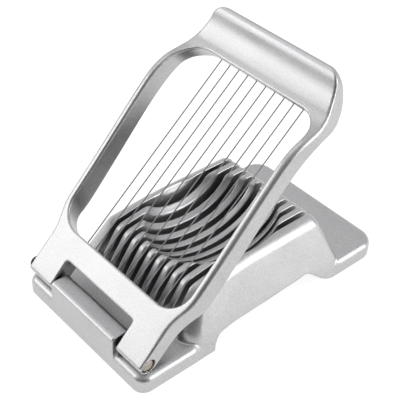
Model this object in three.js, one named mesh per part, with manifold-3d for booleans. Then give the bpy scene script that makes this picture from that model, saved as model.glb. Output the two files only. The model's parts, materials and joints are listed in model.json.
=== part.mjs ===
// Hinged egg slicer: a slotted die-cast base, and a cast frame that carries ten taut wires.
// Millimetres, +Z up. The origin is under the middle of the base, and +X points away from the hinge.

import * as THREE from 'three';
import { mergeVertices } from 'three/addons/utils/BufferGeometryUtils.js';
import Module from 'manifold-3d';

const wasm = await Module();
wasm.setup();

// ---- Driving dimensions ----

const GAP = 0.3; // clearance between pieces that touch

const BASE_LENGTH = 130;
const BASE_HALF_WIDTH = 37.2;
const SLAB_TOP = 7.4; // top of the front plate and of the rear wing
const BODY_TOP = 29.5;
const WALL = 2.8;
const BODY_FRONT = 24.4; // foot of the slotted body, from the front edge of the base
const BODY_REAR = 107;

const WIRE_COUNT = 10;
const WIRE_PITCH = 5;
const WIRE_RADIUS = 0.25;
const SLOT_WIDTH = 2.3;
const SLOT_FLOOR = 9.4;
const RIB_UNDERSIDE = 10.2;

const PIN_X = 4.8; // hinge axis, from the front edge of the base
const PIN_Z = 11.7;
const PIN_RADIUS = 2.3;
const PIN_HEAD_RADIUS = 3.3;
const PIN_HEAD_HEIGHT = 2.4;
const KNUCKLE_RADIUS = 3.95;
const KNUCKLE_HALF_WIDTH = 19.6;

const OPEN_ANGLE = THREE.MathUtils.degToRad(46.3); // frame to table

// Frame dimensions run along the frame (u), across it (y) and square to it (q), from the hinge axis.
const LUG_RADIUS = 3.7;
const LUG_HALF_WIDTH = 35.6;
const FRAME_HALF_WIDTH = 39.3;
const NOTCH_DEPTH = 9.9;
const NOTCH_HALF_WIDTH = 20.9;
const OPENING_HALF_WIDTH = 35.8;
const OPENING_START = 20.7;
const OPENING_END = 108.3;
const FRAME_END = 126.7;
const HANDLE_UNDERSIDE = -13.7;

const WIRE_LINE_START = { u: 20.7, q: -3.4 };
const WIRE_SLOPE = -0.0834; // the wires lie level when the frame is down
const FERRULE_RADIUS = 1.1;
const FERRULE_LENGTH = 2.2;
const COMB_SLOT_WIDTH = 1.1;
const HINGE_CHANNEL = { from: 12.6, to: 16, roof: -1.4 };
const HANDLE_CHANNEL = { from: 111.6, to: 115, roof: -9.2 };

const ALUMINIUM = new THREE.MeshStandardMaterial({ color: 0xcfcfd1, roughness: 0.42, metalness: 1 });
const STEEL = new THREE.MeshStandardMaterial({ color: 0xb9bbbf, roughness: 0.28, metalness: 1 });

// ---- Solids ----

/** Turns a closed geometry into a solid that can be joined and cut. */
function solid(geometry) {
  const bare = geometry.index ? geometry.toNonIndexed() : geometry.clone();
  bare.deleteAttribute('normal');
  bare.deleteAttribute('uv');
  const merged = mergeVertices(bare, 1e-5);
  const vertProperties = new Float32Array(merged.attributes.position.array);
  const triVerts = new Uint32Array(merged.index.array);
  return new wasm.Manifold(new wasm.Mesh({ numProp: 3, vertProperties, triVerts }));
}

/** Wraps a solid as a named mesh. */
function piece(name, shape, material) {
  const { vertProperties, triVerts } = shape.getMesh();
  const geometry = new THREE.BufferGeometry();
  geometry.setAttribute('position', new THREE.BufferAttribute(new Float32Array(vertProperties), 3));
  geometry.setIndex(new THREE.BufferAttribute(new Uint32Array(triVerts), 1));
  geometry.computeVertexNormals();
  const mesh = new THREE.Mesh(geometry, material);
  mesh.name = name;
  return mesh;
}

/** A box between two corners. */
function block(x0, x1, y0, y1, z0, z1) {
  const geometry = new THREE.BoxGeometry(x1 - x0, y1 - y0, z1 - z0);
  geometry.translate((x0 + x1) / 2, (y0 + y1) / 2, (z0 + z1) / 2);
  return solid(geometry);
}

/** Extrudes an outline drawn in X and Z along Y, evenly to both sides. */
function sideProfile(outline, halfWidth, curveSegments = 6) {
  const geometry = new THREE.ExtrudeGeometry(outline, {
    depth: 2 * halfWidth,
    bevelEnabled: false,
    curveSegments,
  });
  geometry.rotateX(Math.PI / 2);
  geometry.translate(0, halfWidth, 0);
  return solid(geometry);
}

/** Extrudes an outline drawn in X and Y upwards. */
function planProfile(outline, bottom, top, curveSegments = 6) {
  const geometry = new THREE.ExtrudeGeometry(outline, {
    depth: top - bottom,
    bevelEnabled: false,
    curveSegments,
  });
  geometry.translate(0, 0, bottom);
  return solid(geometry);
}

/** Extrudes a section drawn in Y and Z along X. */
function lengthProfile(section, from, to) {
  const geometry = new THREE.ExtrudeGeometry(section, { depth: to - from, bevelEnabled: false });
  geometry.rotateY(Math.PI / 2);
  geometry.rotateX(Math.PI / 2);
  geometry.translate(from, 0, 0);
  return solid(geometry);
}

/** The solid and its mirror image on the other side of the middle plane. */
function onBothSides(shape) {
  return shape.add(shape.mirror([0, 1, 0]));
}

/** A round bar along Y. */
function bar(x, z, radius, y0, y1, segments = 20) {
  const geometry = new THREE.CylinderGeometry(radius, radius, y1 - y0, segments);
  geometry.translate(x, (y0 + y1) / 2, z);
  return solid(geometry);
}

/** The points of a rectangle with rounded corners, counter-clockwise. */
function roundedRing({ z, front, rear, halfWidth, frontRadius, rearRadius }) {
  const corners = [
    [rear - rearRadius, halfWidth - rearRadius, rearRadius, 0],
    [front + frontRadius, halfWidth - frontRadius, frontRadius, 1],
    [front + frontRadius, frontRadius - halfWidth, frontRadius, 2],
    [rear - rearRadius, rearRadius - halfWidth, rearRadius, 3],
  ];
  const steps = 5;
  const points = [];
  for (const [x, y, radius, quarter] of corners) {
    for (let i = 0; i <= steps; i++) {
      const angle = (quarter + i / steps) * (Math.PI / 2);
      points.push(new THREE.Vector3(x + radius * Math.cos(angle), y + radius * Math.sin(angle), z));
    }
  }
  return points;
}

/** Skins a stack of rings from the bottom one to the top one, and closes both ends. */
function loft(rings) {
  const count = rings[0].length;
  const index = [];
  for (let r = 0; r + 1 < rings.length; r++) {
    for (let i = 0; i < count; i++) {
      const j = (i + 1) % count;
      const [a, b, c, d] = [r * count + i, r * count + j, (r + 1) * count + j, (r + 1) * count + i];
      index.push(a, b, c, a, c, d);
    }
  }
  const top = (rings.length - 1) * count;
  for (let i = 1; i + 1 < count; i++) {
    index.push(0, i + 1, i);
    index.push(top, top + i, top + i + 1);
  }
  const geometry = new THREE.BufferGeometry().setFromPoints(rings.flat());
  geometry.setIndex(index);
  return solid(geometry);
}

/** Values from start to end, both included. */
function steps(start, end, count) {
  return Array.from({ length: count + 1 }, (_, i) => start + ((end - start) * i) / count);
}

/** The Y of every wire, and of the slot that it cuts through. */
function wireRows() {
  return steps((-WIRE_PITCH * (WIRE_COUNT - 1)) / 2, (WIRE_PITCH * (WIRE_COUNT - 1)) / 2, WIRE_COUNT - 1);
}

// ---- Base casting ----

const SIDE_LEAN_LOW = 0.22; // how fast the body's side walls lean in, below the slab's top and above it
const SIDE_LEAN_HIGH = 0.37;
const SHOULDER_Z = 24;
const SHOULDER_INSET = 4.2;
const SHOULDER_HALF_WIDTH = sideWall(SHOULDER_Z);

/** Half the width of the body at a height below the shoulder. */
function sideWall(z) {
  const low = BASE_HALF_WIDTH - SIDE_LEAN_LOW * Math.min(z, SLAB_TOP);
  return low - SIDE_LEAN_HIGH * Math.max(0, z - SLAB_TOP);
}

/** Half the width of the body, over its rounded shoulder too. */
function bodyHalfWidth(z) {
  if (z <= SHOULDER_Z) return sideWall(z);
  const rise = (z - SHOULDER_Z) / (BODY_TOP - SHOULDER_Z);
  return SHOULDER_HALF_WIDTH - SHOULDER_INSET * (1 - Math.sqrt(Math.max(0, 1 - rise * rise)));
}

// The body's front and top from the side, as X and Z: up from its foot, round the brow, then gently on.
const FRONT_PROFILE = new THREE.SplineCurve([
  [BODY_FRONT, SLAB_TOP],
  [25.2, 11.5],
  [27.2, 15.6],
  [30, 19.9],
  [32.2, 23.4],
  [33.6, 25.3],
  [35.4, 26.4],
  [38.5, 27],
  [44, 27.8],
  [50, 28.7],
  [57, 29.25],
  [62, BODY_TOP],
].map(([x, z]) => new THREE.Vector2(x, z))).getPoints(24);
const REAR_LEAN = 0.4;
const REAR_EDGE_RADIUS = 2.6;

function bodyFront(z) {
  const next = FRONT_PROFILE.findIndex((point) => point.y >= z);
  if (next < 1) return BODY_FRONT;
  const below = FRONT_PROFILE[next - 1];
  const above = FRONT_PROFILE[next];
  return below.x + ((above.x - below.x) * (z - below.y)) / (above.y - below.y);
}

function bodyRear(z) {
  const flat = BODY_REAR - REAR_LEAN * Math.max(0, z - SLAB_TOP);
  const over = Math.max(0, z - (BODY_TOP - REAR_EDGE_RADIUS)) / REAR_EDGE_RADIUS;
  return flat - REAR_EDGE_RADIUS * (1 - Math.sqrt(Math.max(0, 1 - over * over)));
}

/** The closed outer shape of the slotted body. */
function bodyShell() {
  const heights = FRONT_PROFILE.map((point) => point.y);
  const ring = (z, inset = 0) =>
    roundedRing({
      z,
      front: bodyFront(z) + inset,
      rear: bodyRear(z) - inset,
      halfWidth: bodyHalfWidth(z) - inset,
      frontRadius: 8 - inset,
      rearRadius: 3 - inset,
    });
  return loft([ring(3, 1), ...heights.map((z) => ring(z))]);
}

const SLAB_EDGE = 2.8;

/** The low slab under everything: the front plate, the feet and the rear wing. */
function slab() {
  const rounding = steps(0, 1, 4).map((t) => (t * Math.PI) / 2);
  const rings = [{ z: 0, inset: 0 }].concat(
    rounding.map((a) => ({
      z: SLAB_TOP - SLAB_EDGE * (1 - Math.sin(a)),
      inset: SLAB_EDGE * (1 - Math.cos(a)),
    })),
  );
  return loft(
    rings.map(({ z, inset }) =>
      roundedRing({
        z,
        front: inset,
        rear: BASE_LENGTH - inset,
        halfWidth: BASE_HALF_WIDTH - inset,
        frontRadius: 5 - inset,
        rearRadius: 8.5 - inset,
      }),
    ),
  );
}

/** What is cut off the slab's sides, so that the body's leaning walls run down to the table. */
function sideTrim() {
  const margin = 0.1;
  const top = SLAB_TOP + 1.6;
  const wall = (z) => BASE_HALF_WIDTH - margin - SIDE_LEAN_LOW * z;
  const section = new THREE.Shape();
  section.moveTo(wall(-1), -1);
  section.lineTo(BASE_HALF_WIDTH + 1, -1);
  section.lineTo(BASE_HALF_WIDTH + 1, top);
  section.lineTo(wall(top), top);
  return onBothSides(lengthProfile(section, BODY_FRONT + 6, BODY_REAR - 3));
}

/** The block that the hinge pin runs through: flush with the slab in front, with rounded upper edges. */
function knuckle() {
  const top = PIN_Z + KNUCKLE_RADIUS;
  const rear = PIN_X + KNUCKLE_RADIUS;
  const edge = 1.8;
  const outline = new THREE.Shape();
  outline.moveTo(0, 3);
  outline.lineTo(rear, 3);
  outline.absarc(rear - edge, top - edge, edge, 0, Math.PI / 2, false);
  outline.absarc(edge, top - edge, edge, Math.PI / 2, Math.PI, false);
  return sideProfile(outline, KNUCKLE_HALF_WIDTH, 7);
}

/** The hollow dish that the egg lies in. It reaches further towards the hinge than away from it. */
function dish() {
  const geometry = new THREE.SphereGeometry(1, 32, 20);
  geometry.rotateX(Math.PI / 2);
  const place = geometry.attributes.position;
  for (let i = 0; i < place.count; i += 1) {
    const along = place.getX(i);
    place.setX(i, along * (along < 0 ? 32.2 : 28.1));
  }
  geometry.scale(1, 26, 19);
  geometry.translate(66.5, 0, BODY_TOP + 4);
  return solid(geometry);
}

/** Everything that is open to the underside. */
function underside() {
  const tray = [-1, 4.6].map((z) =>
    roundedRing({
      z,
      front: 4,
      rear: BASE_LENGTH - 4,
      halfWidth: sideWall(z) - WALL,
      frontRadius: 3,
      rearRadius: 7,
    }),
  );
  const hall = [3, SLAB_TOP, RIB_UNDERSIDE].map((z) =>
    roundedRing({
      z,
      front: BODY_FRONT + WALL + 0.4,
      rear: BODY_REAR - WALL - 1.6,
      halfWidth: sideWall(z) - WALL - 0.3,
      frontRadius: 5,
      rearRadius: 2,
    }),
  );
  return loft(tray).add(loft(hall));
}

/** The pockets between the outer ribs and the leaning side walls. */
function sidePockets() {
  const ribEdge = (WIRE_PITCH * (WIRE_COUNT - 1)) / 2 + SLOT_WIDTH / 2 + WALL;
  const section = new THREE.Shape();
  section.moveTo(ribEdge, RIB_UNDERSIDE - 1);
  section.lineTo(sideWall(RIB_UNDERSIDE - 1) - WALL - 0.6, RIB_UNDERSIDE - 1);
  section.lineTo(ribEdge + 0.6, SHOULDER_Z - 6);
  section.lineTo(ribEdge, SHOULDER_Z - 6);
  return onBothSides(lengthProfile(section, 33, 95));
}

/** The arch that lifts both side skirts off the table between the front and the rear foot. */
function skirtArch() {
  const outline = new THREE.Shape();
  outline.moveTo(36.7, -1);
  outline.lineTo(36.7, 0);
  outline.quadraticCurveTo(38.6, 7.2, 46.5, 7.3);
  outline.lineTo(83, 8.5);
  outline.quadraticCurveTo(86.5, 9.4, 89.4, 8);
  outline.lineTo(97.5, 1.6);
  outline.quadraticCurveTo(99.2, 0.1, 101.1, 0);
  outline.lineTo(101.1, -1);
  return sideProfile(outline, BASE_HALF_WIDTH + 1, 5);
}

/** The parallel slots that let the wires sink through the body. */
function slots() {
  const half = SLOT_WIDTH / 2;
  const cuts = wireRows().map((y) =>
    block(BODY_FRONT - 2, BODY_REAR + 2, y - half, y + half, SLOT_FLOOR, BODY_TOP + 5),
  );
  return cuts.reduce((all, cut) => all.add(cut));
}

function baseCasting() {
  const outside = slab().add(bodyShell()).add(knuckle()).subtract(sideTrim());
  const pinHole = bar(PIN_X, PIN_Z, PIN_RADIUS + GAP, -KNUCKLE_HALF_WIDTH - 1, KNUCKLE_HALF_WIDTH + 1);
  const cast = outside
    .subtract(underside())
    .subtract(sidePockets())
    .subtract(skirtArch())
    .subtract(dish())
    .subtract(slots())
    .subtract(pinHole);
  return piece('base_casting', cast, ALUMINIUM);
}

// ---- Hinge pin ----

/** A plain pin with a domed head on its left end. */
function hingePin() {
  const headFace = LUG_HALF_WIDTH + GAP;
  const profile = new THREE.Path();
  profile.moveTo(0, -LUG_HALF_WIDTH + 0.2);
  profile.lineTo(PIN_RADIUS - 0.7, -LUG_HALF_WIDTH + 0.2);
  profile.lineTo(PIN_RADIUS, -LUG_HALF_WIDTH + 0.8);
  profile.lineTo(PIN_RADIUS, headFace);
  profile.lineTo(PIN_HEAD_RADIUS, headFace);
  profile.lineTo(PIN_HEAD_RADIUS, headFace + 0.3);
  const headTop = headFace + PIN_HEAD_HEIGHT;
  profile.quadraticCurveTo(PIN_HEAD_RADIUS - 0.6, headTop, 0, headTop);
  const geometry = new THREE.LatheGeometry(profile.getPoints(4), 20);
  geometry.translate(PIN_X, 0, PIN_Z);
  return piece('hinge_pin', solid(geometry), STEEL);
}

// ---- Wire frame casting ----

/** The frame from the side: a blunt nose at the hinge, bowed rails, and a handle with a turned-up lip. */
function frameSideOutline() {
  const noseEdge = 1.5;
  const noseTop = LUG_RADIUS - noseEdge;
  const noseReach = Math.sqrt(LUG_RADIUS ** 2 - noseTop ** 2);
  const outline = new THREE.Shape();
  outline.moveTo(0, -LUG_RADIUS);
  outline.lineTo(NOTCH_DEPTH, -4.3);
  outline.lineTo(18.4, -5.3);
  outline.lineTo(23, -5.6);
  outline.splineThru([
    new THREE.Vector2(31, -6.8),
    new THREE.Vector2(52, -6.1),
    new THREE.Vector2(82, -4.9),
    new THREE.Vector2(98, -7.2),
    new THREE.Vector2(107, -12.4),
  ]);
  outline.lineTo(110.2, HANDLE_UNDERSIDE);
  outline.lineTo(115.2, HANDLE_UNDERSIDE);
  outline.splineThru([
    new THREE.Vector2(118.6, -12.2),
    new THREE.Vector2(122.6, -8.8),
    new THREE.Vector2(125.8, -5.5),
    new THREE.Vector2(FRAME_END, -3.5),
    new THREE.Vector2(126.3, -2.4),
    new THREE.Vector2(125, -1.75),
    new THREE.Vector2(123.4, -1.8),
    new THREE.Vector2(122.2, -2.3),
    new THREE.Vector2(121, -3.3),
    new THREE.Vector2(119.6, -4.05),
    new THREE.Vector2(117, -4.4),
    new THREE.Vector2(113.5, -4.8),
    new THREE.Vector2(110.3, -4.85),
    new THREE.Vector2(106.8, -3.75),
    new THREE.Vector2(103.5, -1.9),
    new THREE.Vector2(97, 2),
    new THREE.Vector2(89, 4.2),
    new THREE.Vector2(76, 4.4),
    new THREE.Vector2(60, 4),
    new THREE.Vector2(46, LUG_RADIUS),
  ]);
  outline.lineTo(noseEdge - noseReach, LUG_RADIUS);
  outline.absarc(noseEdge - noseReach, noseTop, noseEdge, Math.PI / 2, Math.PI, false);
  outline.absarc(0, 0, LUG_RADIUS, Math.PI - Math.asin(noseTop / LUG_RADIUS), (3 * Math.PI) / 2, false);
  return outline;
}

/** The frame from above: narrow lugs flare into the rails, which taper to the handle. */
function framePlanOutline() {
  const corner = 5.5;
  const handleHalfWidth = 33.4;
  const outline = new THREE.Shape();
  outline.moveTo(-LUG_RADIUS - 1, -LUG_HALF_WIDTH);
  outline.lineTo(13, -LUG_HALF_WIDTH);
  outline.bezierCurveTo(21, -LUG_HALF_WIDTH, 23, -FRAME_HALF_WIDTH, 31, -FRAME_HALF_WIDTH);
  outline.lineTo(97, -FRAME_HALF_WIDTH);
  outline.bezierCurveTo(106, -FRAME_HALF_WIDTH, 110, -36.2, FRAME_END - corner, -handleHalfWidth);
  outline.absarc(FRAME_END - corner, corner - handleHalfWidth, corner, -Math.PI / 2, 0, false);
  outline.absarc(FRAME_END - corner, handleHalfWidth - corner, corner, 0, Math.PI / 2, false);
  outline.bezierCurveTo(110, 36.2, 106, FRAME_HALF_WIDTH, 97, FRAME_HALF_WIDTH);
  outline.lineTo(31, FRAME_HALF_WIDTH);
  outline.bezierCurveTo(23, FRAME_HALF_WIDTH, 21, LUG_HALF_WIDTH, 13, LUG_HALF_WIDTH);
  outline.lineTo(-LUG_RADIUS - 1, LUG_HALF_WIDTH);
  return outline;
}

/** The window that the wires cross, with large round corners. It opens downwards to clear the body. */
function windowCut() {
  const radius = 11;
  const lean = 0.25; // the wall at the hinge end leans back under the crossbar
  const cornerLean = 0.31; // and its corners get tighter
  const ring = (z) =>
    roundedRing({
      z,
      front: OPENING_START + lean * (z - LUG_RADIUS),
      rear: OPENING_END,
      halfWidth: OPENING_HALF_WIDTH,
      frontRadius: radius + cornerLean * (z - LUG_RADIUS),
      rearRadius: radius,
    });
  return loft([-20, 8].map(ring));
}

/** The height of the wires over the hinge axis plane, at a place along the frame. */
function wireHeight(u) {
  return WIRE_LINE_START.q + WIRE_SLOPE * (u - WIRE_LINE_START.u);
}

/** Hollows a crossbar from below for the wire ends, and notches its inner lip for each wire. */
function wireSeat(channel, combFrom, combTo, depth) {
  const reach = (WIRE_PITCH * (WIRE_COUNT - 1)) / 2 + 2.4;
  const channelCut = block(channel.from, channel.to, -reach, reach, depth, channel.roof);
  const half = COMB_SLOT_WIDTH / 2;
  const roof = Math.max(wireHeight(combFrom), wireHeight(combTo)) + half;
  const combs = wireRows().map((y) => block(combFrom, combTo, y - half, y + half, depth, roof));
  return combs.reduce((all, cut) => all.add(cut), channelCut);
}

function wireFrame() {
  const outer = sideProfile(frameSideOutline(), FRAME_HALF_WIDTH + 1, 6);
  const plan = planProfile(framePlanOutline(), -20, 10, 8);
  const notch = block(-10, NOTCH_DEPTH, -NOTCH_HALF_WIDTH, NOTCH_HALF_WIDTH, -20, 10);
  const pinHole = bar(0, 0, PIN_RADIUS + GAP, -FRAME_HALF_WIDTH, FRAME_HALF_WIDTH);
  const hingeSeat = wireSeat(HINGE_CHANNEL, HINGE_CHANNEL.to - 1, OPENING_START + 1, -8);
  const handleSeat = wireSeat(HANDLE_CHANNEL, OPENING_END - 1, HANDLE_CHANNEL.from + 1, -16);
  const cast = outer
    .intersect(plan)
    .subtract(windowCut())
    .subtract(notch)
    .subtract(pinHole)
    .subtract(hingeSeat)
    .subtract(handleSeat);
  return piece('wire_frame', cast, ALUMINIUM);
}

// ---- Cutting wires ----

const HINGE_FERRULE_U = HINGE_CHANNEL.to - GAP - FERRULE_LENGTH / 2;
const HANDLE_FERRULE_U = HANDLE_CHANNEL.from + GAP + FERRULE_LENGTH / 2;

/** Turns a geometry that was made along Y so that it lies along the wires, centred at u. */
function layAlongWire(geometry, u) {
  geometry.rotateZ(-Math.PI / 2);
  geometry.rotateY(-Math.atan(WIRE_SLOPE));
  geometry.translate(u, 0, wireHeight(u));
  return geometry;
}

function cuttingWire(number, y) {
  const overhang = FERRULE_LENGTH / 2 + 0.2;
  const run = HANDLE_FERRULE_U - HINGE_FERRULE_U + 2 * overhang;
  const length = run * Math.hypot(1, WIRE_SLOPE);
  const geometry = new THREE.CylinderGeometry(WIRE_RADIUS, WIRE_RADIUS, length, 8);
  const middle = (HINGE_FERRULE_U + HANDLE_FERRULE_U) / 2;
  const mesh = piece(`cutting_wire_${number}`, solid(layAlongWire(geometry, middle)), STEEL);
  mesh.position.y = y;
  return mesh;
}

/** The crimped sleeve that holds one end of a wire behind its lip. */
function ferrule(name, u, y) {
  const bore = WIRE_RADIUS + GAP;
  const half = FERRULE_LENGTH / 2;
  const profile = [
    new THREE.Vector2(bore, -half),
    new THREE.Vector2(FERRULE_RADIUS, -half),
    new THREE.Vector2(FERRULE_RADIUS, half),
    new THREE.Vector2(bore, half),
    new THREE.Vector2(bore, -half),
  ];
  const geometry = new THREE.LatheGeometry(profile, 10);
  const mesh = piece(name, solid(layAlongWire(geometry, u)), STEEL);
  mesh.position.y = y;
  return mesh;
}

// ---- Assembly ----

const frame = new THREE.Group();
frame.position.set(PIN_X, 0, PIN_Z);
frame.rotation.y = -OPEN_ANGLE;
frame.add(wireFrame());
wireRows().forEach((y, i) => {
  const number = String(i + 1).padStart(2, '0');
  frame.add(cuttingWire(number, y));
  frame.add(ferrule(`hinge_ferrule_${number}`, HINGE_FERRULE_U, y));
  frame.add(ferrule(`handle_ferrule_${number}`, HANDLE_FERRULE_U, y));
});

const slicer = new THREE.Group();
slicer.position.x = -BASE_LENGTH / 2;
slicer.add(baseCasting(), hingePin(), frame);

export default slicer;
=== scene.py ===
"""Looks of the egg slicer: die-cast aluminium base and wire frame, steel pin, and ten crimped wires.

Sizes are in millimetres and turned into metres as a mesh is made. The castings are distance functions, so
that every edge and every inside corner gets the radius that a die casting has there.
"""

import json
import math

import bpy
import numpy as np
from mathutils import Matrix, Vector


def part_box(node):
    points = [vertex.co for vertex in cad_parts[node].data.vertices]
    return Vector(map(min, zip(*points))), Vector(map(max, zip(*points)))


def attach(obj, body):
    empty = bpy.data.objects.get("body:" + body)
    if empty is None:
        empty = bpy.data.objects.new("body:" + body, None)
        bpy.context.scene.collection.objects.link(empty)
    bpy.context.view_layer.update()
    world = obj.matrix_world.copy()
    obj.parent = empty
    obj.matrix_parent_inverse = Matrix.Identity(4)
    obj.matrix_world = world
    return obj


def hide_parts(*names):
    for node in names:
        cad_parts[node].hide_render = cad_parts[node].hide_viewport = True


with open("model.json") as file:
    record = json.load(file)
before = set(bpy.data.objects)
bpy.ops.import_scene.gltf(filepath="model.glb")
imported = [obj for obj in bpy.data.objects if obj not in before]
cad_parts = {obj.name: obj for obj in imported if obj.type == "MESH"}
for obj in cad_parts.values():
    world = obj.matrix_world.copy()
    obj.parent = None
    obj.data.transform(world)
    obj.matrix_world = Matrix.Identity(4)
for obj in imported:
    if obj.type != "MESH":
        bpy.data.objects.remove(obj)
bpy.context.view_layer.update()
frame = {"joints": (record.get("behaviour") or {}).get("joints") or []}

MM = 0.001

# ---- Driving dimensions, in the part's own frame ----

GAP = 0.3
BASE_LOW, BASE_HIGH = (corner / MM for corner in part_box("base_casting"))
FRONT = BASE_LOW.x  # X of the hinge end of the base
LENGTH = BASE_HIGH.x - BASE_LOW.x
HALF_WIDTH = BASE_HIGH.y
BODY_TOP = BASE_HIGH.z
SLAB_TOP = 7.4
BODY_FRONT = 24.4  # these X values are counted from FRONT
BODY_REAR = 107.0
WALL = 2.8
WIRE_PITCH = 5.0
WIRE_COUNT = 10
SLOT_WIDTH = 2.3
SLOT_FLOOR = 9.4
RIB_UNDERSIDE = 10.2
TRAY_ROOF = 4.6
POCKET_ROOF = 18.0
SLAB_EDGE = 3.0  # radius of the slab's upper edge
SLAB_FRONT_CORNER = 5.0
SLAB_REAR_CORNER = 8.5
SKIRT_INSET = 0.1
SIDE_LEAN = 0.22  # how fast the body's side walls lean in
UPPER_LEAN = 0.15  # and how much faster above the slab
REAR_LEAN = 0.4
PIN_X = frame["joints"][0]["pos_m"][0] / MM - FRONT
PIN_Z = frame["joints"][0]["pos_m"][2] / MM
PIN_RADIUS = 2.3
KNUCKLE_RADIUS = 3.95
KNUCKLE_HALF_WIDTH = 19.6
OPEN_ANGLE = math.radians(46.3)  # frame to table, as it stands at rest

MARGIN = 0.6  # how far the sampled space reaches past a casting
CAST_STEP = 0.5  # mesh spacing on the castings, and below on the pin and the sleeves
PIN_STEP = 0.22
SLEEVE_STEP = 0.13


# ---- Distance functions ----


def round_max(a, b, radius):
    """Intersection of two distances whose shared edge is rounded."""
    corner = np.hypot(np.maximum(a + radius, 0), np.maximum(b + radius, 0))
    return np.minimum(-radius, np.maximum(a, b)) + corner


def round_min(a, b, radius):
    """Union of two distances with a fillet in the inside corner."""
    return -round_max(-a, -b, radius)


def cut(body, tool, radius):
    """Takes a tool away from a body and rounds the edge that the cut leaves."""
    return round_max(body, -tool, radius)


def slab_between(value, low, high):
    """Distance to the layer between two values."""
    return np.abs(value - (low + high) / 2) - (high - low) / 2


def rounded_rectangle(x, y, centre, half_x, half_y, front_radius, rear_radius):
    """Distance to a rectangle in plan. Its low-X corners have one radius and its high-X corners another."""
    dx = x - centre
    radius = np.where(dx < 0, front_radius, rear_radius)
    qx = np.abs(dx) - half_x + radius
    qy = np.abs(y) - half_y + radius
    return np.minimum(np.maximum(qx, qy), 0) + np.hypot(np.maximum(qx, 0), np.maximum(qy, 0)) - radius


def polygon(x, y, points):
    """Distance to a closed outline."""
    x, y = np.broadcast_arrays(x, y)
    best = np.full(x.shape, 1e9, np.float32)
    inside = np.zeros(x.shape, bool)
    for (ax, ay), (bx, by) in zip(points, points[1:] + points[:1]):
        ex, ey = bx - ax, by - ay
        px, py = x - ax, y - ay
        along = np.clip((px * ex + py * ey) / (ex * ex + ey * ey), 0, 1)
        best = np.minimum(best, (px - along * ex) ** 2 + (py - along * ey) ** 2)
        if ay != by:
            crossing = (ay > y) != (by > y)
            inside ^= crossing & (x < (bx - ax) * (y - ay) / (by - ay) + ax)
    return np.sqrt(best) * np.where(inside, -1, 1)


def ellipsoid(x, y, z, radii):
    """Distance to an ellipsoid about the origin, true near its surface."""
    a, b, c = radii
    size = np.sqrt((x / a) ** 2 + (y / b) ** 2 + (z / c) ** 2) + 1e-9
    slope = np.sqrt((x / a**2) ** 2 + (y / b**2) ** 2 + (z / c**2) ** 2) + 1e-9
    return size * (size - 1) / slope


def curve(points, steps=8):
    """Points along a smooth curve through the given ones."""
    padded = [np.array(point, float) for point in (points[0], *points, points[-1])]
    result = []
    for a, b, c, d in zip(padded, padded[1:], padded[2:], padded[3:]):
        for t in np.arange(steps) / steps:
            bend = (2 * a - 5 * b + 4 * c - d) * t**2 + (3 * b - a - 3 * c + d) * t**3
            point = 0.5 * (2 * b + (c - a) * t + bend)
            result.append(tuple(point.tolist()))
    return result + [points[-1]]


def bezier(*points, steps=12):
    """Points along a cubic Bezier curve."""
    t = np.linspace(0, 1, steps + 1)[:, None]
    a, b, c, d = (np.array(point, float) for point in points)
    path = (1 - t) ** 3 * a + 3 * (1 - t) ** 2 * t * b + 3 * (1 - t) * t**2 * c + t**3 * d
    return [tuple(point) for point in path]


def arc(cx, cy, radius, start, end, steps=10):
    """Points of a round stretch, in degrees."""
    angles = np.radians(np.linspace(start, end, steps + 1))
    return [(cx + radius * math.cos(a), cy + radius * math.sin(a)) for a in angles]


# ---- From a distance function to a mesh ----


def surface(distance, low, high, step):
    """Vertices and quads of the zero surface of a distance function, by surface nets."""
    axes = [np.arange(a - step, b + 2 * step, step, dtype=np.float32) for a, b in zip(low, high)]
    x, y, z = np.meshgrid(*axes, indexing="ij", sparse=True)
    value = np.ascontiguousarray(distance(x, y, z), dtype=np.float32)
    cells = tuple(n - 1 for n in value.shape)
    total = np.zeros((math.prod(cells), 3), np.float32)
    count = np.zeros(len(total), np.float32)
    faces = []
    for axis in range(3):
        head = [slice(None)] * 3
        tail = [slice(None)] * 3
        head[axis], tail[axis] = slice(0, -1), slice(1, None)
        a, b = value[tuple(head)], value[tuple(tail)]
        edge = np.argwhere((a < 0) != (b < 0))
        va, vb = a[tuple(edge.T)], b[tuple(edge.T)]
        point = edge.astype(np.float32)
        point[:, axis] += va / (va - vb)
        u, v = (axis + 1) % 3, (axis + 2) % 3
        keep = (edge[:, u] > 0) & (edge[:, v] > 0) & (edge[:, u] < cells[u]) & (edge[:, v] < cells[v])
        edge, point, inside = edge[keep], point[keep], va[keep] < 0
        ring = []
        for du, dv in ((-1, -1), (0, -1), (0, 0), (-1, 0)):
            cell = edge.copy()
            cell[:, u] += du
            cell[:, v] += dv
            index = np.ravel_multi_index(tuple(cell.T), cells)
            ring.append(index)
            for k in range(3):
                total[:, k] += np.bincount(index, point[:, k], len(total)).astype(np.float32)
            count += np.bincount(index, minlength=len(total))
        quad = np.stack(ring, 1)
        quad[~inside] = quad[~inside][:, ::-1]
        faces.append(quad)
    used = np.flatnonzero(count)
    number = np.full(len(total), -1, np.int64)
    number[used] = np.arange(len(used))
    origin = np.array([a[0] for a in axes], np.float32)
    vertices = total[used] / count[used, None] * step + origin
    return polished(vertices, distance, step), number[np.concatenate(faces)]


def polished(vertices, distance, step):
    """Moves each vertex onto the surface along the slope of the distance."""
    h = step * 0.25
    for _ in range(3):
        x, y, z = vertices.T
        value = distance(x, y, z)
        slope = np.stack(
            [
                distance(x + h, y, z) - distance(x - h, y, z),
                distance(x, y + h, z) - distance(x, y - h, z),
                distance(x, y, z + h) - distance(x, y, z - h),
            ],
            1,
        )
        slope /= 2 * h
        size = np.maximum((slope**2).sum(1, keepdims=True), 0.25)
        move = np.clip(value[:, None] * slope / size, -step * 0.5, step * 0.5)
        vertices = vertices - move
    return vertices


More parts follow.
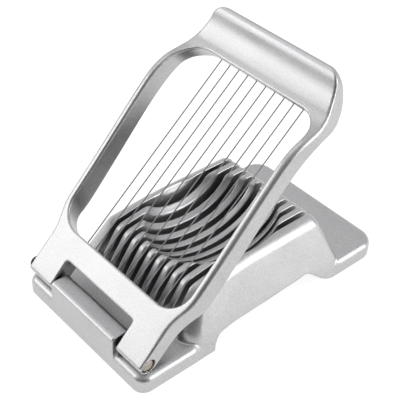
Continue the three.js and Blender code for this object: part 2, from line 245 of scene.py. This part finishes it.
def mesh_object(name, vertices, faces):
    """A smooth-shaded object from arrays in millimetres."""
    mesh = bpy.data.meshes.new(name)
    mesh.vertices.add(len(vertices))
    mesh.vertices.foreach_set("co", (np.asarray(vertices, np.float32) * MM).ravel())
    mesh.loops.add(faces.size)
    mesh.loops.foreach_set("vertex_index", faces.ravel().astype(np.int32))
    mesh.polygons.add(len(faces))
    mesh.polygons.foreach_set("loop_start", np.arange(0, faces.size, 4, dtype=np.int32))
    mesh.update(calc_edges=True)
    mesh.validate()
    mesh.shade_smooth()
    obj = bpy.data.objects.new(name, mesh)
    bpy.context.scene.collection.objects.link(obj)
    return obj


# ---- Base casting ----

DISH_CENTRE = (66.5, BODY_TOP + 4)
DISH_RADII = (28.1, 26.0, 19.0)
DISH_FRONT_RADIUS = 32.2  # the dish reaches further towards the hinge
SLOTTED_HALF_WIDTH = WIRE_PITCH * (WIRE_COUNT - 1) / 2


def body_side(side, z):
    """Distance to the leaning side wall of the slotted body."""
    above = z - SLAB_TOP
    bend = (above + np.sqrt(above**2 + 4)) / 2
    return (side - (HALF_WIDTH + SKIRT_INSET - SIDE_LEAN * z - UPPER_LEAN * bend)) / 1.04


def skirt(x, side, z):
    """The wall of the slab: upright at the plate and the wing, and leaning with the body between them."""
    rise = np.clip((x - BODY_FRONT - 1) / 5, 0, 1) * np.clip((BODY_REAR + 1 - x) / 7, 0, 1)
    share = rise * rise * (3 - 2 * rise)
    return side - HALF_WIDTH + share * (SKIRT_INSET + SIDE_LEAN * z)


def slab_distance(x, y, side, z):
    """The low slab: the front plate, the feet and the rear wing."""
    plan = rounded_rectangle(
        x, y, LENGTH / 2, LENGTH / 2, HALF_WIDTH, SLAB_FRONT_CORNER, SLAB_REAR_CORNER)
    return round_max(np.maximum(plan, skirt(x, side, z)), z - SLAB_TOP, SLAB_EDGE)


def body_distance(x, side, z):
    """The slotted body: a front that bends over into the top, leaning sides and a leaning back."""
    front_and_top = polygon(x, z, BODY_OUTLINE)
    shoulder = 4.2 + 2.8 * np.clip((BODY_FRONT + 12 - x) / 6, 0, 1)
    rear = (x - BODY_REAR + REAR_LEAN * np.maximum(z - SLAB_TOP, 0)) / math.hypot(1, REAR_LEAN)
    return round_max(round_max(body_side(side, z), front_and_top, shoulder), rear, 3.0)


def knuckle_distance(x, side, z):
    """The block round the pin, which stands flush with the front of the slab."""
    edge = 1.8
    profile = round_max(-x, z - PIN_Z - KNUCKLE_RADIUS, edge)
    profile = round_max(profile, x - PIN_X - KNUCKLE_RADIUS, edge)
    return round_max(profile, side - KNUCKLE_HALF_WIDTH, 0.5)


def underside_distance(x, y, side, z):
    """The shallow tray under the slab, the hall under the ribs, and the pockets beside the outer ribs."""
    tray = rounded_rectangle(x, y, LENGTH / 2, LENGTH / 2 - 4, HALF_WIDTH - WALL - 1, 3, 6)
    tray = round_max(tray, z - TRAY_ROOF, 1.2)
    wall = body_side(side, z) + WALL + 0.3
    hall = round_max(wall, slab_between(x, BODY_FRONT + WALL + 0.4, BODY_REAR - WALL - 1.6), 4)
    hall = round_max(hall, z - RIB_UNDERSIDE, 1.0)
    rib_edge = SLOTTED_HALF_WIDTH + SLOT_WIDTH / 2 + WALL
    pocket = round_max(rib_edge - side, wall + 0.3, 0.5)
    pocket = round_max(pocket, slab_between(x, 33, 95), 3)
    pocket = round_max(pocket, z - POCKET_ROOF, 0.5)
    return np.minimum(np.minimum(tray, hall), pocket)


# The body's front and top from the side: up from its foot, round the brow, then gently on.
FRONT_PROFILE = curve(
    [(BODY_FRONT, SLAB_TOP), (25.2, 11.5), (27.2, 15.6), (30, 19.9), (32.2, 23.4), (33.6, 25.3),
     (35.4, 26.4), (38.5, 27), (44, 27.8), (50, 28.7), (57, 29.25), (62, BODY_TOP)], 4)
BODY_OUTLINE = [(BODY_FRONT, 0), *FRONT_PROFILE, (LENGTH + 20, BODY_TOP), (LENGTH + 20, 0)]

# The arch in the side skirts, between the front foot and the rear foot.
ARCH = [
    (36.7, -3),
    *curve([(36.7, 0), (37.9, 3.9), (40.6, 6.3), (46.5, 7.3)], 5)[:-1],
    *curve([(46.5, 7.3), (64, 7.8), (83, 8.5), (86.4, 8.8), (89.4, 8), (93.5, 4.8), (97.5, 1.6),
            (101.1, 0)], 5),
    (101.1, -3),
]


def slot_distance(x, y, side, z):
    """The ten slots that the wires sink into."""
    nearest = np.abs(np.mod(y, WIRE_PITCH) - WIRE_PITCH / 2)
    row = np.where(side < SLOTTED_HALF_WIDTH + WIRE_PITCH / 2, nearest, side - SLOTTED_HALF_WIDTH)
    slot = round_max(row - SLOT_WIDTH / 2, SLOT_FLOOR - z, 0.3)
    return np.maximum(slot, BODY_FRONT - 2 - x)


def base_distance(x, y, z):
    """The whole base casting, in the part's own frame."""
    x = x - FRONT
    side = np.abs(y)
    fillet = 0.5 * np.clip((HALF_WIDTH - 1 - side) / 3, 0.01, 1)
    cast = round_min(slab_distance(x, y, side, z), body_distance(x, side, z), fillet)
    cast = round_min(cast, knuckle_distance(x, side, z), 0.9 * np.clip(x / 2, 0.01, 1))
    along = x - DISH_CENTRE[0]
    along = np.where(along < 0, along * (DISH_RADII[0] / DISH_FRONT_RADIUS), along)
    dish = ellipsoid(along, y, z - DISH_CENTRE[1], DISH_RADII)
    cast = cut(cast, dish, 1.4)
    cast = cut(cast, slot_distance(x, y, side, z), 0.4)
    cast = cut(cast, underside_distance(x, y, side, z), 0.5)
    cast = cut(cast, polygon(x, z, ARCH), 0.6)
    pin_hole = np.hypot(x - PIN_X, z - PIN_Z) - PIN_RADIUS - GAP
    cast = cut(cast, pin_hole, 0.3)
    return round_max(cast, -z, 0.3)


# ---- Wire frame casting: u runs along the frame from the hinge axis, q is square to it ----

LUG_RADIUS = 3.7
LUG_HALF_WIDTH = 35.6
FRAME_INSET = 0.06  # keeps the rails just inside the CAD's box
FRAME_HALF_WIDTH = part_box("wire_frame")[1].y / MM - FRAME_INSET
FRAME_END = 126.7
FRAME_UNDERSIDE = -13.8
FRAME_TOP = 4.6
NOTCH_DEPTH = 9.9
NOTCH_HALF_WIDTH = 20.9
SIDE_OUTLINE = [
    *arc(-1.475, 2.2, 1.5, 90, 180, 6),
    *arc(0, 0, LUG_RADIUS, 143.5, 270),
    (NOTCH_DEPTH, -4.3),
    (18.4, -5.3),
    *curve([(23, -5.6), (31, -6.8), (52, -6.1), (82, -4.9), (98, -7.2), (107, -12.4)], 5),
    (110.2, -13.7),
    *curve(
        [(115.2, -13.7), (118.6, -12.2), (122.6, -8.8), (125.8, -5.5), (FRAME_END, -3.5), (126.3, -2.4),
         (125, -1.75), (123.6, -1.9), (122.2, -2.4), (120.8, -3.15), (119, -3.9), (116.8, -4.5),
         (113.5, -4.9), (110.3, -4.85), (106.8, -3.75), (103.5, -1.9), (97, 2), (89, 4.2), (76, 4.4),
         (60, 4), (46, LUG_RADIUS)], 6),
]
# Half the frame's width along it: narrow lugs flare into the rails, which taper to the handle.
HALF_WIDTHS = [
    (-9, LUG_HALF_WIDTH),
    *bezier((13, LUG_HALF_WIDTH), (21, LUG_HALF_WIDTH), (23, FRAME_HALF_WIDTH), (31, FRAME_HALF_WIDTH)),
    *bezier((97, FRAME_HALF_WIDTH), (106, FRAME_HALF_WIDTH), (110, 36.2), (121.2, 33.4)),
    (140, 28.7),
]
OPENING_HALF_WIDTH = 35.8
OPENING_START = 20.7
OPENING_END = 108.3
WIRE_SLOPE = -0.0834
HINGE_CHANNEL = (12.6, 16.0, -1.4)  # from u, to u, and the roof's q
HANDLE_CHANNEL = (111.6, 115.0, -9.2)


def wire_height(u):
    """The q of the wires at a place along the frame. They lie level when the frame is down."""
    return -3.4 + WIRE_SLOPE * (u - OPENING_START)


def seat_distance(u, y, side, q, channel, comb_low, comb_high, open_below):
    """The channel that holds the wire ends under a crossbar, and the notches in its lip."""
    low, high, roof = channel
    reach = SLOTTED_HALF_WIDTH + 2.4
    trough = round_max(slab_between(u, low, high), side - reach, 0.4)
    trough = round_max(trough, q - roof, 0.4)
    row = np.abs(np.mod(y, WIRE_PITCH) - WIRE_PITCH / 2)
    comb = round_max(row - 0.55, np.maximum(slab_between(u, comb_low, comb_high), side - reach), 0.01)
    comb = round_max(comb, q - max(wire_height(comb_low), wire_height(comb_high)) - 0.55, 0.5)
    return np.maximum(np.minimum(trough, comb), open_below - q)


def frame_distance(u, y, q):
    """The whole frame casting, in the frame's own u, y and q."""
    side = np.abs(y)
    width = np.interp(u, *zip(*HALF_WIDTHS)).astype(np.float32)
    plan = round_max(side - width, u - FRAME_END, 5.5)
    edge = np.interp(u, (4, 22, 100, 112), (0.9, 1.8, 1.8, 1.0)).astype(np.float32)
    cast = round_max(polygon(u, q, SIDE_OUTLINE), plan, edge)
    start = OPENING_START + 0.25 * (q - LUG_RADIUS)
    middle, half_length = (start + OPENING_END) / 2, (OPENING_END - start) / 2
    radius = np.where(u < middle, np.clip(11 + 0.31 * (q - LUG_RADIUS), 5, 12), 11)
    qx, qy = np.abs(u - middle) - half_length + radius, side - OPENING_HALF_WIDTH + radius
    window = np.minimum(np.maximum(qx, qy), 0) + np.hypot(np.maximum(qx, 0), np.maximum(qy, 0)) - radius
    cast = cut(cast, window, 1.0)
    cast = cut(cast, round_max(u - NOTCH_DEPTH, side - NOTCH_HALF_WIDTH, 1.2), 0.6)
    countersink = PIN_RADIUS + GAP + 0.45 * np.clip((side - 33) / 1.2, 0, 1)
    cast = cut(cast, np.hypot(u, q) - countersink, 0.25)
    cast = cut(cast, seat_distance(u, y, side, q, HINGE_CHANNEL, 15.0, OPENING_START + 1, -8), 0.2)
    return cut(cast, seat_distance(u, y, side, q, HANDLE_CHANNEL, OPENING_END - 1, 112.6, -16), 0.2)


def to_part(points):
    """From the frame's own u, y and q to the part's X, Y and Z, as it stands at rest."""
    c, s = math.cos(OPEN_ANGLE), math.sin(OPEN_ANGLE)
    u, y, q = np.asarray(points, float).T
    return np.stack([FRONT + PIN_X + u * c - q * s, y, PIN_Z + u * s + q * c], 1)


def grown(low, high, margin):
    """A box made larger on every side."""
    return [a - margin for a in low], [b + margin for b in high]


def make_base():
    vertices, faces = surface(base_distance, *grown(BASE_LOW, BASE_HIGH, MARGIN), CAST_STEP)
    return mesh_object("base", np.clip(vertices, BASE_LOW, BASE_HIGH), faces)


def make_frame():
    low = (-LUG_RADIUS, -FRAME_HALF_WIDTH, FRAME_UNDERSIDE)
    high = (FRAME_END, FRAME_HALF_WIDTH, FRAME_TOP)
    vertices, faces = surface(frame_distance, *grown(low, high, MARGIN), CAST_STEP)
    return mesh_object("frame", to_part(vertices), faces)


# ---- Hinge pin, wires and their crimped sleeves ----

PIN_LOW, PIN_HIGH = (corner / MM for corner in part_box("hinge_pin"))
PIN_HEAD_RADIUS = (PIN_HIGH.x - PIN_LOW.x) / 2
PIN_HEAD_FACE = LUG_HALF_WIDTH + GAP
PIN_BARE_TO = -33.8  # the pin is bare metal up to this Y
PIN_DARK_FROM = -32.8
WIRE_RADIUS = 0.25
FERRULE_RADIUS = 1.1
FERRULE_LENGTH = 2.2
HINGE_FERRULE_U = HINGE_CHANNEL[1] - GAP - FERRULE_LENGTH / 2
HANDLE_FERRULE_U = HANDLE_CHANNEL[0] + GAP + FERRULE_LENGTH / 2
WIRE_TILT = -OPEN_ANGLE - math.atan(WIRE_SLOPE)


def pin_distance(x, y, z):
    """A pin with a domed head, whose other end was hammered over into the countersink."""
    x, z = x - FRONT - PIN_X, z - PIN_Z
    radius = np.hypot(x, z)
    shank = np.maximum(radius - PIN_RADIUS, np.maximum(PIN_LOW.y + 1.2 - y, y - PIN_HEAD_FACE - 0.4))
    spread = ellipsoid(x, y - PIN_LOW.y - 1.2, z, (2.75, 1.2, 2.75))
    shank = round_min(shank, spread, 0.2)
    rise = PIN_HIGH.y - PIN_HEAD_FACE
    ball = (PIN_HEAD_RADIUS**2 + rise**2) / (2 * rise)
    dome = np.hypot(radius, y - PIN_HIGH.y + ball) - ball
    head = round_max(round_max(dome, radius - PIN_HEAD_RADIUS + 0.12, 0.3), PIN_HEAD_FACE - y, 0.15)
    return np.minimum(shank, head)


def make_pin():
    vertices, faces = surface(pin_distance, *grown(PIN_LOW, PIN_HIGH, 0.4), PIN_STEP)
    return mesh_object("pin", vertices, faces)


def ferrule_distance(u, y, q):
    """A short sleeve, squeezed flat in two bites across its middle."""
    radius = np.hypot(y, q)
    sleeve = round_max(radius - FERRULE_RADIUS, np.abs(u) - FERRULE_LENGTH / 2, 0.15)
    for place in (-0.5, 0.5):
        bite = np.hypot(u - place, np.abs(q) - FERRULE_RADIUS - 0.12) - 0.36
        sleeve = cut(sleeve, bite, 0.08)
    return cut(sleeve, radius - WIRE_RADIUS - 0.06, 0.1)


FERRULE_MESH = surface(ferrule_distance, (-1.3, -1.3, -1.3), (1.3, 1.3, 1.3), SLEEVE_STEP)


def along_wire(points, u, y):
    """Turns points that were made along u so that they lie along a wire, and places them."""
    tilt = math.atan(WIRE_SLOPE)
    du, dy, dq = np.asarray(points, float).T
    return np.stack([u + du * math.cos(tilt) - dq * math.sin(tilt), y + dy,
                     wire_height(u) + du * math.sin(tilt) + dq * math.cos(tilt)], 1)


def make_ferrule(name, u, y):
    vertices, faces = FERRULE_MESH
    return mesh_object(name, to_part(along_wire(vertices, u, y)), faces)


def make_wire(name, y):
    """A taut round wire that ends just beyond its sleeves, with the edges of both cuts rounded off."""
    first = HINGE_FERRULE_U - FERRULE_LENGTH / 2
    last = HANDLE_FERRULE_U + FERRULE_LENGTH / 2
    half = (last - first) / 2 * math.hypot(1, WIRE_SLOPE)
    edge, overhang = 0.1, 0.05
    end = arc(half + overhang, WIRE_RADIUS - edge, edge, 0, 90, 3)
    straight = [(s, WIRE_RADIUS) for s in np.linspace(-half, half, 24)]
    profile = [*((-s, r) for s, r in end), *straight, *reversed(end)]
    sides = 12
    turn = np.linspace(0, 2 * math.pi, sides, endpoint=False)
    vertices = [(s, r * math.cos(a), r * math.sin(a)) for s, r in profile for a in turn]
    final = (len(profile) - 1) * sides
    faces = [(i + j, i + (j + 1) % sides, i + sides + (j + 1) % sides, i + sides + j)
             for i in range(0, final, sides) for j in range(sides)]
    for j in range(1, sides - 2, 2):
        faces.append((0, j + 2, j + 1, j))
        faces.append((final, final + j, final + j + 1, final + j + 2))
    place = along_wire(vertices, (first + last) / 2, y)
    return mesh_object(name, to_part(place), np.array(faces))


# ---- Materials ----


class Nodes:
    """A material's node tree, with a short way to add and join nodes."""

    def __init__(self, name):
        self.material = bpy.data.materials.new(name)
        self.material.use_nodes = True
        self.tree = self.material.node_tree
        self.shader = self.tree.nodes["Principled BSDF"]
        self.place = self.add("ShaderNodeTexCoord").outputs["Object"]

    def add(self, kind, inputs=None, **settings):
        node = self.tree.nodes.new(kind)
        for key, value in settings.items():
            setattr(node, key, value)
        for key, value in (inputs or {}).items():
            self.set(node, key, value)
        return node

    def set(self, node, key, value):
        if isinstance(value, bpy.types.NodeSocket):
            self.tree.links.new(value, node.inputs[key])
        else:
            node.inputs[key].default_value = value

    def noise(self, feature, detail=2.0, roughness=0.5):
        """Noise from 0 to 1 whose features are about so many millimetres across."""
        return self.add("ShaderNodeTexNoise", {
            "Vector": self.place, "Scale": 1 / (feature * MM), "Detail": detail, "Roughness": roughness,
        }).outputs["Fac"]

    def ranged(self, value, low, high, to_low, to_high):
        return self.add("ShaderNodeMapRange", {
            "Value": value, "From Min": low, "From Max": high, "To Min": to_low, "To Max": to_high,
        }).outputs["Result"]

    def math(self, operation, a, b):
        return self.add("ShaderNodeMath", {0: a, 1: b}, operation=operation).outputs[0]

    def ramp(self, value, stops):
        node = self.add("ShaderNodeValToRGB", {"Fac": value})
        node.color_ramp.elements[0].position = stops[0][0]
        node.color_ramp.elements[0].color = (*stops[0][1], 1)
        node.color_ramp.elements[1].position = stops[-1][0]
        node.color_ramp.elements[1].color = (*stops[-1][1], 1)
        for position, colour in stops[1:-1]:
            node.color_ramp.elements.new(position).color = (*colour, 1)
        return node.outputs["Color"]

    def bump(self, height, strength, distance, normal=None):
        inputs = {"Height": height, "Strength": strength, "Distance": distance * MM}
        if normal is not None:
            inputs["Normal"] = normal
        return self.add("ShaderNodeBump", inputs).outputs["Normal"]


def grey(value, blue=1.0):
    return (value, value, value * blue)


def aluminium():
    """Tumbled die-cast aluminium: a fine bright grain, faint clouds, and edges that are worn smoother."""
    n = Nodes("cast_aluminium")
    grain = n.noise(0.42, 2.5, 0.6)
    peening = n.noise(1.1, 1.5)
    cloud = n.noise(16, 2)
    mottle = n.math("ADD", n.math("MULTIPLY", grain, 0.8), n.math("MULTIPLY", cloud, 0.2))
    n.set(n.shader, "Base Color", n.ramp(mottle, ((0.34, grey(0.42, 1.01)), (0.5, grey(0.51, 1.01)),
                                                  (0.66, grey(0.6, 1.01)))))
    edge = n.ranged(n.add("ShaderNodeNewGeometry").outputs["Pointiness"], 0.5, 0.56, 0, 0.08)
    rough = n.ranged(n.math("ADD", grain, cloud), 0.7, 1.3, 0.32, 0.42)
    n.set(n.shader, "Roughness", n.math("SUBTRACT", rough, edge))
    n.set(n.shader, "Metallic", 1)
    n.set(n.shader, "Normal", n.bump(grain, 0.35, 0.03, n.bump(peening, 0.25, 0.05)))
    return n.material


def pin_steel():
    """Steel, near black on the head and along the shank, and bare brownish metal on the end that was peened
    over.
    """
    n = Nodes("pin_steel")
    y = n.add("ShaderNodeSeparateXYZ", {"Vector": n.place}).outputs["Y"]
    bare = n.ranged(y, PIN_BARE_TO * MM, PIN_DARK_FROM * MM, 1, 0)
    spots = n.noise(0.5, 3, 0.6)
    # Near black from PIN_DARK_FROM towards the head, brownish bare metal on the peened end.
    n.set(n.shader, "Base Color", n.ramp(n.math("MULTIPLY", bare, n.ranged(spots, 0.35, 0.65, 0.55, 1)), (
        (0.0, (0.02, 0.02, 0.022)), (0.5, (0.24, 0.21, 0.18)), (1.0, (0.5, 0.46, 0.41)))))
    rough = n.ranged(spots, 0.3, 0.7, 0.5, 0.65)
    n.set(n.shader, "Roughness", n.math("SUBTRACT", rough, n.ranged(bare, 0, 1, 0, 0.2)))
    n.set(n.shader, "Metallic", bare)
    n.set(n.shader, "Specular IOR Level", 0.2)
    n.set(n.shader, "Normal", n.bump(spots, 0.5, 0.08))
    return n.material


def wire_steel():
    """Drawn stainless wire, with the fine lengthwise lines of the die."""
    n = Nodes("wire_steel")
    lines = n.add("ShaderNodeTexNoise", {
        "Vector": n.add("ShaderNodeMapping", {
            "Vector": n.place, "Rotation": (0, WIRE_TILT, 0), "Scale": (60, 9000, 9000),
        }).outputs["Vector"], "Scale": 1.0, "Detail": 1.0}).outputs["Fac"]
    n.set(n.shader, "Base Color", n.ramp(lines, ((0.3, (0.22, 0.22, 0.23)), (0.7, (0.36, 0.36, 0.37)))))
    n.set(n.shader, "Roughness", n.ranged(lines, 0.3, 0.7, 0.2, 0.34))
    n.set(n.shader, "Metallic", 1)
    n.set(n.shader, "Normal", n.bump(lines, 0.2, 0.01))
    return n.material


def ferrule_steel():
    """Plated sleeves, dull where the crimping tool pressed them."""
    n = Nodes("ferrule_steel")
    scuff = n.noise(0.35, 3, 0.6)
    n.set(n.shader, "Base Color", n.ramp(scuff, ((0.35, (0.5, 0.5, 0.5)), (0.65, (0.68, 0.68, 0.69)))))
    n.set(n.shader, "Roughness", n.ranged(scuff, 0.3, 0.7, 0.28, 0.5))
    n.set(n.shader, "Metallic", 1)
    n.set(n.shader, "Normal", n.bump(scuff, 0.3, 0.04))
    return n.material


def add_piece(piece, material, body, node):
    """Gives a piece its finish, and lets it stand for a node and move with a body."""
    piece.data.materials.append(material)
    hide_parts(node)
    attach(piece, body)


satin = aluminium()
add_piece(make_base(), satin, "base", "base_casting")
add_piece(make_frame(), satin, "frame", "wire_frame")
add_piece(make_pin(), pin_steel(), "base", "hinge_pin")
drawn, plated = wire_steel(), ferrule_steel()
for row in range(WIRE_COUNT):
    number = f"{row + 1:02d}"
    y = (row - (WIRE_COUNT - 1) / 2) * WIRE_PITCH
    add_piece(make_wire(f"wire_{number}", y), drawn, "frame", f"cutting_wire_{number}")
    for end, u in (("hinge", HINGE_FERRULE_U), ("handle", HANDLE_FERRULE_U)):
        sleeve = make_ferrule(f"{end}_sleeve_{number}", u, y)
        add_piece(sleeve, plated, "frame", f"{end}_ferrule_{number}")


# ---- Stage, lights and camera ----

LIGHT_DISTANCE = 0.9
LIGHT_TARGET = Vector((0, 0, 0.04))
PAINTED_SHADOW_INSET = 9  # how far inside the base's sides the floor stops glowing, leaving a painted shadow under the part
CAMERA_PLACE = Vector((-0.21226, -0.22105, 0.28121))
CAMERA_AZIMUTH = math.radians(-42.976)
CAMERA_ELEVATION = math.radians(38.599)
CAMERA_ROLL = math.radians(3.057)
CAMERA_LENS = 88.454


def softbox(name, azimuth, elevation, size, radiance):
    """A soft light that faces the part from a direction in degrees, as bright as its radiance says."""
    azimuth, elevation = math.radians(azimuth), math.radians(elevation)
    away = Vector((math.cos(azimuth) * math.cos(elevation), math.sin(azimuth) * math.cos(elevation),
                   math.sin(elevation)))
    light = bpy.data.lights.new(name, "AREA")
    light.shape = "RECTANGLE"
    light.size, light.size_y = size
    light.energy = radiance * math.pi * size[0] * size[1]
    obj = bpy.data.objects.new(name, light)
    obj.location = LIGHT_TARGET + away * LIGHT_DISTANCE
    obj.rotation_euler = (-away).to_track_quat("-Z", "Y").to_euler()
    bpy.context.scene.collection.objects.link(obj)


def make_floor():
    """A plain pale floor that glows softly: painted light, brightest near the part, and a painted shadow
    under it, where it does not glow at all.
    """
    half = 3.0
    corners = [(-half, -half, 0), (half, -half, 0), (half, half, 0), (-half, half, 0)]
    mesh = bpy.data.meshes.new("floor")
    mesh.from_pydata(corners, [], [(0, 1, 2, 3)])
    floor = bpy.data.objects.new("floor", mesh)
    bpy.context.scene.collection.objects.link(floor)
    n = Nodes("floor")
    away = n.add("ShaderNodeVectorMath", {0: n.place}, operation="LENGTH").outputs["Value"]
    quadrant = n.add("ShaderNodeVectorMath", {0: n.place}, operation="ABSOLUTE").outputs["Vector"]
    out = n.add("ShaderNodeSeparateXYZ", {"Vector": quadrant}).outputs
    beside = n.math("MAXIMUM", n.math("SUBTRACT", out["X"], LENGTH / 2 * MM),
                    n.math("SUBTRACT", out["Y"], (HALF_WIDTH - PAINTED_SHADOW_INSET) * MM))
    # Painted light: the glow is a pool of light brightest near the part that fades away from it, and it is
    # cut off under the part as a painted shadow.
    glow = n.math("MULTIPLY", n.ranged(away, 0.35, 0.9, 0.9, 0.4), n.ranged(beside, -0.004, 0, 0, 1))
    n.set(n.shader, "Base Color", (0.25, 0.25, 0.25, 1))
    n.set(n.shader, "Roughness", 0.9)
    n.set(n.shader, "Emission Color", (1, 1, 1, 1))
    n.set(n.shader, "Emission Strength", glow)
    mesh.materials.append(n.material)


def make_world():
    """Soft light from all round, weaker from the front right, where the studio is dark."""
    world = bpy.data.worlds.new("studio")
    world.use_nodes = True
    tree = world.node_tree
    towards = tree.nodes.new("ShaderNodeVectorMath")
    towards.operation = "DOT_PRODUCT"
    towards.inputs[1].default_value = Vector((0.53, 0.57, 0.62))
    tree.links.new(tree.nodes.new("ShaderNodeTexCoord").outputs["Generated"], towards.inputs[0])
    level = tree.nodes.new("ShaderNodeMapRange")
    for key, value in (("From Min", -0.6), ("From Max", 0.7), ("To Min", 0.08), ("To Max", 0.8)):
        level.inputs[key].default_value = value
    tree.links.new(towards.outputs["Value"], level.inputs["Value"])
    tree.links.new(level.outputs["Result"], tree.nodes["Background"].inputs["Strength"])
    tree.nodes["Background"].inputs["Color"].default_value = (1, 1, 1.01, 1)
    bpy.context.scene.world = world


def make_camera():
    """The photograph's view: over the hinge end and the right side, from above, with a slight roll."""
    level = math.cos(CAMERA_ELEVATION)
    back = Vector((math.sin(CAMERA_AZIMUTH) * level, -math.cos(CAMERA_AZIMUTH) * level,
                   math.sin(CAMERA_ELEVATION)))
    level_right = Vector((math.cos(CAMERA_AZIMUTH), math.sin(CAMERA_AZIMUTH), 0))
    level_up = back.cross(level_right)
    right = math.cos(CAMERA_ROLL) * level_right + math.sin(CAMERA_ROLL) * level_up
    up = math.cos(CAMERA_ROLL) * level_up - math.sin(CAMERA_ROLL) * level_right
    data = bpy.data.cameras.new("camera")
    data.sensor_width = 36
    data.lens = CAMERA_LENS
    camera = bpy.data.objects.new("camera", data)
    turn = Matrix((right, up, back)).transposed().to_4x4()
    camera.matrix_world = Matrix.Translation(CAMERA_PLACE) @ turn
    bpy.context.scene.collection.objects.link(camera)
    bpy.context.scene.camera = camera


bpy.context.scene.view_settings.view_transform = "Standard"
make_world()
softbox("key_light", 139, 24, (0.62, 0.5), 1.9)
softbox("top_light", 105, 60, (0.5, 0.5), 0.6)
softbox("side_light", -56, 18, (0.65, 0.6), 2.8)
make_floor()
make_camera()
